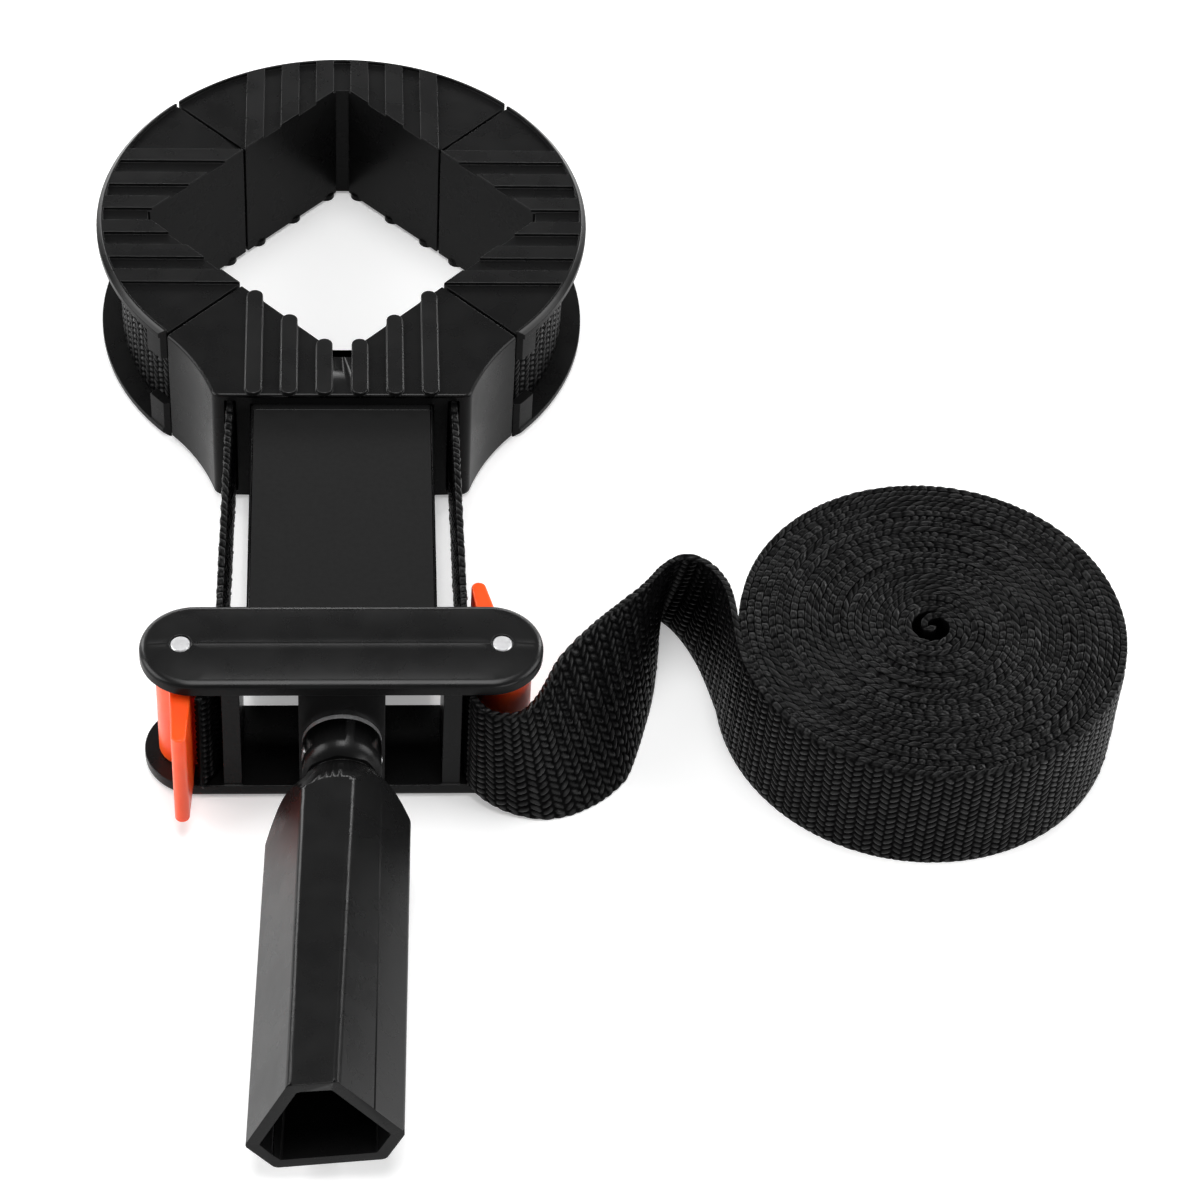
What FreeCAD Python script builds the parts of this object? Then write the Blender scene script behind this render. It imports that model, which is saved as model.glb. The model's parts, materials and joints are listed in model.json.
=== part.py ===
"""Four-jaw strap clamp: a ring of corner jaws held by a webbing strap that a screw handle tightens.

Millimetres, +Z up. The model is laid out about the axis of the jaw ring, with +Y towards the back
jaw and the handle along -Y, and is shifted at the end so that the tool's own box, without its
loose strap, is centred on the origin and stands on Z = 0.
"""
import FreeCAD, Part
import math
import os

Vector = FreeCAD.Vector

# ---- driving dimensions -------------------------------------------------------------------
RING_R = 50.0  # outer radius of the closed jaw ring
STRAP_WIDTH = 25.0  # nominal webbing width
STRAP_THICK = 1.3
SPLIT_GAP = 0.6  # gap between neighbouring jaws when the ring is closed
SEAT_SUM = 40.6  # |x| + |y| on the flat walls that a frame corner seats in
NUB_SUM = 40.0  # |x| + |y| that the loose jaws' lower ribs reach with their round ends
FRONT_NUB_SUM = 39.1  # and the front jaw's ribs
RELIEF = (1.4, 39.6)  # groove in a loose jaw's corner: half width, bottom's distance from the ring's axis
FRONT_RELIEF = (1.85, 40.9)  # and in the front jaw's
RIM_NIP = 1.5  # how much the loose jaws' outer corners are cut back
WEB_R = 44.1  # wall at the bottom of the strap channel
FLANGE_THICK = 1.5
BORDER_WIDTH = 1.4  # raised border around the rim
RIM_CHAMFER = 1.0
RIB_HEIGHT = 0.7
RIBS_PER_SIDE = 3
RIB_PITCH = 7.3
RIB_WIDTH = 3.7
FRONT_RIB_PITCH = 6.95
FRONT_RIB_WIDTH = 3.2
JAW_WALL = 2.4  # wall left around the hollows inside the jaws
JAW_FLOOR_EXTRA = 0.8  # the hollows' floor and roof are this much thicker than the flanges
JAW_SOLID_HALF = 8.0  # half width of a loose jaw's solid middle
HEAD_SOLID_HALF = 20.0  # and of the front jaw's
TAB_WIDTH = 5.1  # lips that keep the strap in its channel
TAB_THICK = 2.0
LOWER_TAB_RISE = 7.1
UPPER_TAB_DROP = 5.6
TAB_INSET = 0.25  # the lips stand back from the rim
SLOT_CLEAR = 0.35  # play on each side of the strap in the front jaw
SLOT_RUN_OUT = 6.0  # how far the slot's cutting shape runs past the jaw

HEAD_FRONT_Y = -51.7  # front face of the front jaw
HEAD_HALF_WIDTH = 25.2  # at that face
FRONT_SHOULDER_X = 34.6  # where the side wall meets the split
FRONT_WAIST = (28.9, -42.9)  # a point on the curved side wall
HEAD_CORNER_R = 2.0
HEAD_CHAMFER = 0.4
STRAP_X = 21.9  # strap's middle where it leaves the front jaw

HOUSING_HALF_WIDTH = 17.8
HOUSING_HEIGHT = 20.6
HOUSING_WALL = 2.4
HOUSING_START_Y = -44.0  # inside the front jaw's socket
HOUSING_END_Y = -106.7
NUT_BLOCK = 14.0  # solid end that holds the nut
NUT_ACROSS_FLATS = 13.0
NUT_THICK = 6.5
NUT_INSET = 0.2
HOUSING_EDGE_R = 1.0
LABEL_THICK = 0.6
LABEL_SIDE_MARGIN = 0.6
LABEL_END_MARGIN = 1.5
LABEL_PROUD = 0.1  # how far it stands above the housing

YOKE_BACK_Y = -109.2
YOKE_FRONT_Y = -129.1
YOKE_HALF_LENGTH = 37.0
YOKE_HEIGHT = 32.6
YOKE_PLATE = 3.4
HUB_FRONT_INSET = 0.4  # the hub and webs stand back from the plates' edges
HUB_BACK_INSET = 1.4
YOKE_EDGE_R = 1.6
HUB_HALF_WIDTH = 7.95
WEB_INNER_X = 18.6
WEB_OUTER_X = 22.0
PIN_X = 29.4
PIN_R = 2.0
PIN_RECESS = 0.2
PIN_CHAMFER = 0.3

SPINDLE_R = 4.0
SPINDLE_TIP_Y = -47.0
SPINDLE_END_Y = -141.0
COLLAR_R = 6.4
COLLAR_THICK = 2.0
COLLAR_GAP = 0.5  # between the housing's end and the collar
SPINDLE_CHAMFER = 0.8
WASHER_R = 7.3
NECK_GAP = 1.0  # room for the washer between hub and handle

CAM_R = 5.3
CAM_OFFSET = 0.4
LEVER_REACH = 19.6  # pin axis to the lever's tip
LEVER_ROOT_WIDTH = 4.7
LEVER_TIP_WIDTH = 2.8
BLADE_INSET = 0.9  # the blade is lower than the cam by this at top and bottom
LEVER_SWING = 192.0  # degrees from closed, pointing forward, to open, leaning in at the back

NECK_R = 7.3
NECK_GROOVE_R = 6.7
NECK_GROOVE_WIDTH = 1.2
NECK_END_Y = -139.5
SHOULDER_SLOPE = 0.65  # growth in radius per unit of length
HOLLOW_START_Y = -156.0
HANDLE_END_Y = -214.3
HANDLE_WALL = 2.2
HANDLE_EDGE_R = 1.6
HANDLE_ROLL = 7.0  # degrees that the handle happens to be turned
HANDLE_LEAN = 0.034  # its grip isn't quite square to the screw: sideways shift per unit of length
HANDLE_NEAR = (17.6, 9.3)  # long and short sides of its six-sided section at the neck
HANDLE_FAR = (19.2, 8.5)  # and at the open end
HANDLE_PIN_R = 1.25
HANDLE_PIN_Y = -133.0
HANDLE_PIN_TILT = 100.0

ROLL_CENTRE = (111.0, -108.6)
ROLL_R = 37.1
TAIL_HALF_THICK = 0.8
TAIL_LOW = 0.2
RUN_HALF_THICK = 0.65  # pulled tight, a little thinner
RUN_END = (24.0, -129.0)
STUB_END = (-26.3, -129.3)
PINCH_BEFORE = 1.5  # the strap runs straight from this far behind the yoke
PINCH_AFTER = 5.0  # to this far in front of the cam
CUT_AFTER = 3.0  # where the stub takes over from the tight run on the left
TIGHT_RUN_R = 200.0  # slight bend where the tight runs meet the yoke
# The loose strap's route on the table, from the yoke to the roll, chosen by hand.
TAIL_ROUTE = [
    (24.2, -130.4),
    (29.5, -132.4),
    (38.0, -131.4),
    (45.8, -123.8),
    (51.6, -113.8),
    (56.6, -103.2),
    (60.4, -92.8),
    (65.2, -87.6),
    (70.2, -91.0),
    (72.7, -99.4),
    (73.0, -108.6),
]

FIT = 0.05  # clearance of a running fit
SNUG = 0.01  # clearance of a fit that doesn't move
CLEAR = 0.3  # clearance between pieces that don't touch
SINK = 0.5  # how far solids that are joined run into each other

# ---- sizes that follow --------------------------------------------------------------------
CHANNEL_HEIGHT = STRAP_WIDTH + 0.4
PLATE_LOW = RIB_HEIGHT  # underside of the lower plate
CHANNEL_LOW = PLATE_LOW + FLANGE_THICK
CHANNEL_HIGH = CHANNEL_LOW + CHANNEL_HEIGHT
PLATE_HIGH = CHANNEL_HIGH + FLANGE_THICK
RING_HEIGHT = PLATE_HIGH + RIB_HEIGHT
LOWER_RIBS = (0.0, PLATE_LOW + SINK)
UPPER_RIBS = (PLATE_HIGH - SINK, RING_HEIGHT)
RING_STRAP_LOW = CHANNEL_LOW + 0.2
RING_STRAP_HIGH = RING_STRAP_LOW + STRAP_WIDTH
RING_STRAP_R = WEB_R + 0.25 + STRAP_THICK / 2  # the strap's middle in the channel
AXIS_Z = YOKE_HEIGHT / 2  # screw and handle axis
YOKE_MID_Y = (YOKE_BACK_Y + YOKE_FRONT_Y) / 2
YOKE_ROOF = YOKE_HEIGHT - YOKE_PLATE
HUB_BACK_Y = YOKE_BACK_Y - HUB_BACK_INSET
HUB_FRONT_Y = YOKE_FRONT_Y + HUB_FRONT_INSET
YOKE_STRAP_LOW = YOKE_PLATE + 0.2
YOKE_STRAP_HIGH = YOKE_STRAP_LOW + STRAP_WIDTH
PINCH_X = WEB_OUTER_X + 0.1 + STRAP_THICK / 2  # the strap's middle between web and cam
COLLAR_FRONT_Y = HOUSING_END_Y - COLLAR_GAP - COLLAR_THICK
SHIFT_Y = -(RING_R + HANDLE_END_Y) / 2
FAR = 200.0  # longer than any part, for cutting tools

os.makedirs("parts", exist_ok=True)


def save(name, shape):
    """Move a finished sub-part onto the delivered origin and write it."""
    placed = shape.copy()
    placed.translate(Vector(0, SHIFT_Y, 0))
    placed.exportStep("parts/" + name + ".step")
    box = placed.BoundBox
    print(
        f"{name}: valid {placed.isValid()}, solids {len(placed.Solids)}, {placed.Volume:.0f} mm3,"
        f" x {box.XMin:.1f}..{box.XMax:.1f}, y {box.YMin:.1f}..{box.YMax:.1f},"
        f" z {box.ZMin:.1f}..{box.ZMax:.1f}"
    )


# ---- small building blocks ----------------------------------------------------------------
def block(x0, x1, y0, y1, z0, z1):
    return Part.makeBox(x1 - x0, y1 - y0, z1 - z0, Vector(x0, y0, z0))


def upright(x, y, radius, z0, z1):
    return Part.makeCylinder(radius, z1 - z0, Vector(x, y, z0))


def along_y(radius, y0, y1):
    """A cylinder on the screw axis."""
    return Part.makeCylinder(radius, y1 - y0, Vector(0, y0, AXIS_Z), Vector(0, 1, 0))


def prism(points, z0, z1):
    """A closed outline of (x, y) points, extruded from z0 to z1."""
    wire = Part.makePolygon([Vector(x, y, z0) for x, y in points + points[:1]])
    return Part.Face(wire).extrude(Vector(0, 0, z1 - z0))


def mirrored(shape):
    """The same piece on the other side of the tool's middle plane."""
    return shape.mirror(Vector(0, 0, 0), Vector(1, 0, 0))


def turned(shape, degrees, x=0.0, y=0.0):
    """A copy turned about an upright line."""
    copy = shape.copy()
    copy.rotate(Vector(x, y, 0), Vector(0, 0, 1), degrees)
    return copy


def at_height(edge, z):
    box = edge.BoundBox
    return abs(box.ZMin - z) < 1e-4 and abs(box.ZMax - z) < 1e-4


def at_xy(edge, x, y):
    """Whether an upright edge stands at (x, y) or at its mirror image."""
    box = edge.BoundBox
    upright_edge = box.XLength < 1e-4 and box.YLength < 1e-4
    return upright_edge and abs(abs(box.XMin) - x) < 1e-3 and abs(box.YMin - y) < 1e-3


def softened(shape, radius, wanted):
    """Round the edges that the test picks."""
    return shape.makeFillet(radius, [edge for edge in shape.Edges if wanted(edge)])


def ribbon(route, half_thick, z0, z1, radii=None):
    """A strap on edge: straight runs through the route's points, joined by tangent arcs."""
    points = [Vector(x, y, 0) for x, y in route]
    runs = [b - a for a, b in zip(points, points[1:])]
    ways = [Vector(run).normalize() for run in runs]
    sides = {1: [], -1: []}
    ends = {s: points[0] + Vector(-ways[0].y, ways[0].x, 0) * half_thick * s for s in sides}
    first = dict(ends)
    for i in range(1, len(points) - 1):
        turn = ways[i - 1].getAngle(ways[i])
        shorter = min(runs[i - 1].Length, runs[i].Length)
        radius = radii[i - 1] if radii else 0.45 * shorter / math.tan(turn / 2)
        setback = radius * math.tan(turn / 2)
        hand = 1 if ways[i - 1].cross(ways[i]).z > 0 else -1
        normal_in = Vector(-ways[i - 1].y, ways[i - 1].x, 0)
        normal_out = Vector(-ways[i].y, ways[i].x, 0)
        start = points[i] - ways[i - 1] * setback
        finish = points[i] + ways[i] * setback
        centre = start + normal_in * radius * hand
        to_middle = (points[i] - centre).normalize()
        for s in sides:
            arc_start = start + normal_in * half_thick * s
            arc_middle = centre + to_middle * (radius - hand * half_thick * s)
            arc_end = finish + normal_out * half_thick * s
            sides[s].append(Part.LineSegment(ends[s], arc_start).toShape())
            sides[s].append(Part.Arc(arc_start, arc_middle, arc_end).toShape())
            ends[s] = arc_end
        if not radii:
            print(f"  bend radius {radius:.1f} mm at {route[i]}")
    last_normal = Vector(-ways[-1].y, ways[-1].x, 0)
    last = {s: points[-1] + last_normal * half_thick * s for s in sides}
    edges = sides[1] + sides[-1]
    edges += [Part.LineSegment(ends[s], last[s]).toShape() for s in sides]
    edges.append(Part.LineSegment(first[1], first[-1]).toShape())
    edges.append(Part.LineSegment(last[1], last[-1]).toShape())
    solid = Part.Face(Part.Wire(Part.__sortEdges__(edges))).extrude(Vector(0, 0, z1 - z0))
    solid.translate(Vector(0, 0, z0))
    return solid


# ---- what the four jaws share ---------------------------------------------------------------
def square_prism(diagonal_sum, z0, z1):
    """The diamond |x| + |y| <= diagonal_sum."""
    corners = [(diagonal_sum, 0.0), (0.0, diagonal_sum), (-diagonal_sum, 0.0), (0.0, -diagonal_sum)]
    return prism(corners, z0, z1)


def quarter():
    """The quarter of the plan that belongs to the back jaw, half a gap clear of its neighbours."""
    apex = SPLIT_GAP / 2 * math.sqrt(2)
    return prism([(0.0, apex), (FAR, FAR + apex), (-FAR, FAR + apex)], -1, RING_HEIGHT + 1)


def rib_solids(pitch, width, nub_sum, outer_y, round_outer, low, high):
    """The ribs of one face of a jaw, drawn as the back jaw's, round-ended at the seat."""
    ribs = []
    for x in rib_places(pitch):
        nub_y = nub_sum + width / 2 * math.sqrt(2) - abs(x)
        ribs.append(block(x - width / 2, x + width / 2, nub_y, outer_y, low, high))
        ribs.append(upright(x, nub_y, width / 2, low, high))
        if round_outer:
            ribs.append(upright(x, outer_y, width / 2, low, high))
    return ribs


def flush_ribs(pitch, width, outer_y, low, high):
    """The same ribs, ending flush with the seat's walls."""
    seat = seat_cut(*RELIEF)
    ribs = []
    for x in rib_places(pitch):
        rib = block(x - width / 2, x + width / 2, SEAT_SUM - abs(x) - width / 2, outer_y, low, high)
        ribs.append(rib.cut(seat))
    return ribs


def rib_places(pitch):
    return [(i + 0.5) * pitch for i in range(-RIBS_PER_SIDE, RIBS_PER_SIDE)]


def seat_cut(half, bottom):
    """The square opening with the narrow flat-bottomed groove in the back jaw's corner."""
    seat = square_prism(SEAT_SUM, -1, RING_HEIGHT + 1)
    seat = seat.cut(block(-FAR, FAR, bottom, FAR, -1, RING_HEIGHT + 1))
    return seat.fuse(block(-half, half, SEAT_SUM / 2, bottom, -1, RING_HEIGHT + 1))


def core_pocket(middle_half):
    """The moulding's two hollows beside its middle, open at the split faces."""
    low = CHANNEL_LOW + JAW_FLOOR_EXTRA
    high = CHANNEL_HIGH - JAW_FLOOR_EXTRA
    inner = square_prism(SEAT_SUM + JAW_WALL * math.sqrt(2), low, high)
    ring = upright(0, 0, WEB_R - JAW_WALL, low, high).cut(inner)
    ring = ring.common(block(-FAR, FAR, 0, FAR, low, high))
    return ring.cut(block(-middle_half, middle_half, 0, FAR, low, high))


# ---- loose jaws -----------------------------------------------------------------------------
def rim_plate(low, high, outer_z, recess_low, recess_high):
    """One flange, chamfered at its outer edge, with a raised border around its rim."""
    disc = upright(0, 0, RING_R, low, high)
    disc = disc.makeChamfer(RIM_CHAMFER, [e for e in disc.Edges if at_height(e, outer_z)])
    return disc.cut(upright(0, 0, RING_R - BORDER_WIDTH, recess_low, recess_high))


def retaining_tab():
    """The upper and lower lips at the right end of the back jaw."""
    outer_r = RING_R - TAB_INSET
    lip = upright(0, 0, outer_r, PLATE_LOW + SINK, PLATE_HIGH - SINK)
    lip = lip.cut(upright(0, 0, outer_r - TAB_THICK, 0, RING_HEIGHT))
    strip = block(0, FAR, 0, TAB_WIDTH + SPLIT_GAP / 2, 0, RING_HEIGHT)
    lip = lip.common(turned(strip, 45.0))
    middle = block(-FAR, FAR, -FAR, FAR, CHANNEL_LOW + LOWER_TAB_RISE, CHANNEL_HIGH - UPPER_TAB_DROP)
    return lip.cut(middle)


def rim_nips():
    """What is cut from the rim at both ends of the back jaw."""
    nip = square_prism(RIM_NIP, -1, RING_HEIGHT + 1)
    nip.translate(Vector(RING_R, 0, 0))
    return [turned(nip, 45), turned(nip, 135)]


def loose_jaw():
    """One loose corner jaw, drawn as the back jaw."""
    upper = rim_plate(CHANNEL_HIGH, RING_HEIGHT, RING_HEIGHT, PLATE_HIGH, RING_HEIGHT + 1)
    lower = rim_plate(0.0, CHANNEL_LOW, 0.0, -1.0, PLATE_LOW)
    body = upper.fuse([lower, upright(0, 0, WEB_R, PLATE_LOW, PLATE_HIGH)])
    body = body.cut(seat_cut(*RELIEF))
    within_rim = upright(0, 0, RING_R - RIM_CHAMFER, -1, RING_HEIGHT + 1)
    ribs = rib_solids(RIB_PITCH, RIB_WIDTH, NUB_SUM, RING_R, False, *LOWER_RIBS)
    ribs += flush_ribs(RIB_PITCH, RIB_WIDTH, RING_R, *UPPER_RIBS)
    tab = retaining_tab()
    body = body.fuse([rib.common(within_rim) for rib in ribs] + [tab, mirrored(tab)])
    body = body.cut([core_pocket(JAW_SOLID_HALF)] + rim_nips()).common(quarter())
    return body.removeSplitter()


# ---- front jaw, screw housing ---------------------------------------------------------------
def front_band(half_thick, z0, z1, extra):
    """The strap's path through the front jaw on the right, with both ends made longer by extra."""
    on_ring = RING_STRAP_R * math.sqrt(0.5)
    bend_y = STRAP_X - 2 * on_ring
    step = extra * math.sqrt(0.5)
    route = [(on_ring + step, step - on_ring), (STRAP_X, bend_y), (STRAP_X, HEAD_FRONT_Y - extra)]
    radius = (bend_y - HEAD_FRONT_Y) / math.tan(math.radians(22.5))
    return ribbon(route, half_thick, z0, z1, [radius])


def front_outline():
    """Plan of the front jaw: split faces, side walls that curve inwards, and a flat front."""
    apex = SPLIT_GAP / 2 * math.sqrt(2)
    tip = Vector(0, -apex, 0)
    edges = []
    feet = []
    for side in (-1, 1):
        shoulder = Vector(side * FRONT_SHOULDER_X, -FRONT_SHOULDER_X - apex, 0)
        waist = Vector(side * FRONT_WAIST[0], FRONT_WAIST[1], 0)
        foot = Vector(side * HEAD_HALF_WIDTH, HEAD_FRONT_Y, 0)
        edges.append(Part.LineSegment(tip, shoulder).toShape())
        edges.append(Part.Arc(shoulder, waist, foot).toShape())
        feet.append(foot)
    edges.append(Part.LineSegment(*feet).toShape())
    plan = Part.Face(Part.Wire(Part.__sortEdges__(edges)))
    solid = plan.extrude(Vector(0, 0, PLATE_HIGH - PLATE_LOW))
    solid.translate(Vector(0, 0, PLATE_LOW))
    return solid


def on_outer_rim(edge):
    """Whether an edge of the front jaw's plan runs along its side walls or its front."""
    level = at_height(edge, PLATE_LOW) or at_height(edge, PLATE_HIGH)
    return level and edge.BoundBox.YMax < 1 - FRONT_SHOULDER_X


def front_jaw():
    body = front_outline()
    body = softened(body, HEAD_CORNER_R, lambda edge: at_xy(edge, HEAD_HALF_WIDTH, HEAD_FRONT_Y))
    body = body.makeChamfer(HEAD_CHAMFER, [edge for edge in body.Edges if on_outer_rim(edge)])
    body = body.cut(turned(seat_cut(*FRONT_RELIEF), 180))
    rib_end = -HEAD_FRONT_Y - FRONT_RIB_WIDTH / 2
    ribs = []
    for level in (LOWER_RIBS, UPPER_RIBS):
        ribs += rib_solids(FRONT_RIB_PITCH, FRONT_RIB_WIDTH, FRONT_NUB_SUM, rib_end, True, *level)
    body = body.fuse([turned(rib, 180) for rib in ribs])
    slot = front_band(STRAP_THICK / 2 + SLOT_CLEAR, CHANNEL_LOW, CHANNEL_HIGH, SLOT_RUN_OUT)
    socket_low = AXIS_Z - HOUSING_HEIGHT / 2 - FIT
    socket_high = AXIS_Z + HOUSING_HEIGHT / 2 + FIT
    socket_half = HOUSING_HALF_WIDTH + FIT
    socket_end = HOUSING_START_Y + FIT
    socket = block(-socket_half, socket_half, -FAR, socket_end, socket_low, socket_high)
    hollows = turned(core_pocket(HEAD_SOLID_HALF), 180)
    body = body.cut([slot, mirrored(slot), socket, hollows])
    return body.common(turned(quarter(), 180)).removeSplitter()


def hexagon_nut(across_flats, y0, y1):
    """A six-sided prism on the screw axis, flats up and down."""
    radius = across_flats / math.sqrt(3)
    angles = [math.radians(60 * i) for i in range(7)]
    corners = [Vector(radius * math.cos(a), y0, AXIS_Z + radius * math.sin(a)) for a in angles]
    return Part.Face(Part.makePolygon(corners)).extrude(Vector(0, y1 - y0, 0))


def housing_box(inset, y0, y1):
    half = HOUSING_HALF_WIDTH - inset
    rise = HOUSING_HEIGHT / 2 - inset
    return block(-half, half, y0, y1, AXIS_Z - rise, AXIS_Z + rise)


def spindle_housing():
    body = housing_box(0.0, HOUSING_END_Y, HOUSING_START_Y)
    body = softened(body, HOUSING_EDGE_R, lambda edge: edge.BoundBox.YLength > NUT_BLOCK)
    hollow = housing_box(HOUSING_WALL, HOUSING_END_Y + NUT_BLOCK, 0.0)
    pocket_end = HOUSING_END_Y + NUT_INSET + NUT_THICK + FIT
    pocket = hexagon_nut(NUT_ACROSS_FLATS + 2 * FIT, -FAR, pocket_end)
    bore = along_y(SPINDLE_R + CLEAR, -FAR, 0.0)
    return body.cut([hollow, pocket, bore, label_plate()])


def label_plate():
    """The plain plate let into the housing's top."""
    half = HOUSING_HALF_WIDTH - LABEL_SIDE_MARGIN
    high = AXIS_Z + HOUSING_HEIGHT / 2 + LABEL_PROUD
    front = HOUSING_END_Y + LABEL_END_MARGIN
    back = HEAD_FRONT_Y - LABEL_END_MARGIN
    return block(-half, half, front, back, high - LABEL_THICK, high)


def spindle_nut():
    front = HOUSING_END_Y + NUT_INSET
    nut = hexagon_nut(NUT_ACROSS_FLATS, front, front + NUT_THICK)
    return nut.cut(along_y(SPINDLE_R + FIT, -FAR, 0.0))


# ---- yoke, levers and screw -----------------------------------------------------------------
def stadium(z0, z1):
    radius = (YOKE_BACK_Y - YOKE_FRONT_Y) / 2
    centre_x = YOKE_HALF_LENGTH - radius
    bar = block(-centre_x, centre_x, YOKE_FRONT_Y, YOKE_BACK_Y, z0, z1)
    ends = [upright(side * centre_x, YOKE_MID_Y, radius, z0, z1) for side in (-1, 1)]
    return bar.fuse(ends).removeSplitter()


def yoke():
    lower = softened(stadium(0.0, YOKE_PLATE), YOKE_EDGE_R, lambda edge: at_height(edge, 0.0))
    upper = stadium(YOKE_ROOF, YOKE_HEIGHT)
    upper = softened(upper, YOKE_EDGE_R, lambda edge: at_height(edge, YOKE_HEIGHT))
    low = YOKE_PLATE - SINK
    high = YOKE_ROOF + SINK
    hub = block(-HUB_HALF_WIDTH, HUB_HALF_WIDTH, HUB_FRONT_Y, HUB_BACK_Y, low, high)
    web = block(WEB_INNER_X, WEB_OUTER_X, HUB_FRONT_Y, HUB_BACK_Y, low, high)
    body = lower.fuse([upper, hub, web, mirrored(web)])
    holes = [upright(side * PIN_X, YOKE_MID_Y, PIN_R, -1, YOKE_HEIGHT + 1) for side in (-1, 1)]
    return body.cut(holes + [along_y(SPINDLE_R + FIT, -FAR, 0.0)]).removeSplitter()


def lever_pin(side):
    high = YOKE_HEIGHT - PIN_RECESS
    pin = upright(side * PIN_X, YOKE_MID_Y, PIN_R - SNUG, PIN_RECESS, high)
    return pin.makeChamfer(PIN_CHAMFER, [e for e in pin.Edges if e.BoundBox.ZLength < 1e-4])


def closed_lever():
    """The left cam lever, closed: the blade points forward and the cam bears towards the web."""
    x = -PIN_X
    low = YOKE_PLATE + CLEAR
    high = YOKE_ROOF - CLEAR
    tip_y = YOKE_MID_Y - LEVER_REACH + LEVER_TIP_WIDTH / 2
    outline = [
        (x - LEVER_ROOT_WIDTH / 2, YOKE_MID_Y),
        (x - LEVER_TIP_WIDTH / 2, tip_y),
        (x + LEVER_TIP_WIDTH / 2, tip_y),
        (x + LEVER_ROOT_WIDTH / 2, YOKE_MID_Y),
    ]
    blade_low = low + BLADE_INSET
    blade_high = high - BLADE_INSET
    blade = prism(outline, blade_low, blade_high)
    tip = upright(x, tip_y, LEVER_TIP_WIDTH / 2, blade_low, blade_high)
    cam = upright(x + CAM_OFFSET, YOKE_MID_Y, CAM_R, low, high)
    body = cam.fuse([blade, tip]).cut(upright(x, YOKE_MID_Y, PIN_R + FIT, 0, YOKE_HEIGHT))
    return body.removeSplitter()


def open_lever():
    """The right lever, swung open so that its blade lies towards the jaws."""
    return turned(mirrored(closed_lever()), LEVER_SWING, PIN_X, YOKE_MID_Y)


def washer(y0, y1):
    return along_y(WASHER_R, y0, y1).cut(along_y(SPINDLE_R + FIT, -FAR, 0.0))


def handle_pin_solid(radius, half_length):
    tilt = math.radians(HANDLE_PIN_TILT)
    way = Vector(math.sin(tilt), 0, math.cos(tilt))
    start = Vector(0, HANDLE_PIN_Y, AXIS_Z) - way * half_length
    return Part.makeCylinder(radius, 2 * half_length, start, way)


def spindle():
    rod = along_y(SPINDLE_R, SPINDLE_END_Y, SPINDLE_TIP_Y)
    rod = rod.makeChamfer(SPINDLE_CHAMFER, [e for e in rod.Edges if e.BoundBox.YLength < 1e-4])
    rod = rod.fuse(along_y(COLLAR_R, COLLAR_FRONT_Y, COLLAR_FRONT_Y + COLLAR_THICK))
    return rod.cut(handle_pin_solid(HANDLE_PIN_R + SNUG, COLLAR_R))


def handle_section(sides, y, inset):
    """The handle's six-sided outline at y: long and short sides in turn, a long one below."""
    shrink = 2 * inset / math.sqrt(3)
    long_side, short_side = (side - shrink for side in sides)
    middle_x = HANDLE_LEAN * (y - YOKE_MID_Y)
    low_z = AXIS_Z - (long_side + 2 * short_side) / (2 * math.sqrt(3))
    corner = Vector(middle_x - long_side / 2, y, low_z)
    corners = []
    for i in range(6):
        corners.append(corner)
        heading = math.radians(60 * i)
        reach = long_side if i % 2 == 0 else short_side
        corner = corner + Vector(reach * math.cos(heading), 0, reach * math.sin(heading))
    return rounded_wire(corners, HANDLE_EDGE_R - inset / 2)


def rounded_wire(corners, radius):
    """A closed wire through the corners with each one rounded."""
    arcs = []
    for i, corner in enumerate(corners):
        back = (corners[i - 1] - corner).normalize()
        ahead = (corners[(i + 1) % len(corners)] - corner).normalize()
        half = back.getAngle(ahead) / 2
        setback = radius / math.tan(half)
        middle = corner + (back + ahead).normalize() * (radius / math.sin(half) - radius)
        arcs.append((corner + back * setback, middle, corner + ahead * setback))
    edges = []
    for i, arc in enumerate(arcs):
        edges.append(Part.Arc(*arc).toShape())
        edges.append(Part.LineSegment(arc[2], arcs[(i + 1) % len(arcs)][0]).toShape())
    return Part.Wire(edges)


def handle():
    start = HUB_FRONT_Y - NECK_GAP
    outside = [handle_section(HANDLE_NEAR, NECK_END_Y, 0.0), handle_section(HANDLE_FAR, HANDLE_END_Y, 0.0)]
    grip = Part.makeLoft(outside, True, True)
    length = NECK_END_Y - HANDLE_END_Y
    wide = NECK_R + length * SHOULDER_SLOPE
    towards_end = Vector(0, -1, 0)
    cone = Part.makeCone(NECK_R, wide, length, Vector(0, NECK_END_Y, AXIS_Z), towards_end)
    grip = grip.common(cone).fuse(along_y(NECK_R, NECK_END_Y - SINK, start))
    share = (HOLLOW_START_Y - NECK_END_Y) / (HANDLE_END_Y - NECK_END_Y)
    at_hollow = [near + (far - near) * share for near, far in zip(HANDLE_NEAR, HANDLE_FAR)]
    inside = [
        handle_section(at_hollow, HOLLOW_START_Y, HANDLE_WALL),
        handle_section(HANDLE_FAR, HANDLE_END_Y, HANDLE_WALL),
    ]
    hollow = Part.makeLoft(inside, True, True)
    groove = along_y(2 * NECK_R, NECK_END_Y, NECK_END_Y + NECK_GROOVE_WIDTH)
    groove = groove.cut(along_y(NECK_GROOVE_R, -FAR, 0.0))
    grip = grip.cut([hollow, groove])
    grip.rotate(Vector(0, 0, AXIS_Z), towards_end, HANDLE_ROLL)
    bore = along_y(SPINDLE_R + SNUG, SPINDLE_END_Y - CLEAR, 0.0)
    cross_hole = handle_pin_solid(HANDLE_PIN_R + SNUG, 2 * NECK_R)
    return grip.cut([bore, cross_hole]).removeSplitter()


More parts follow.
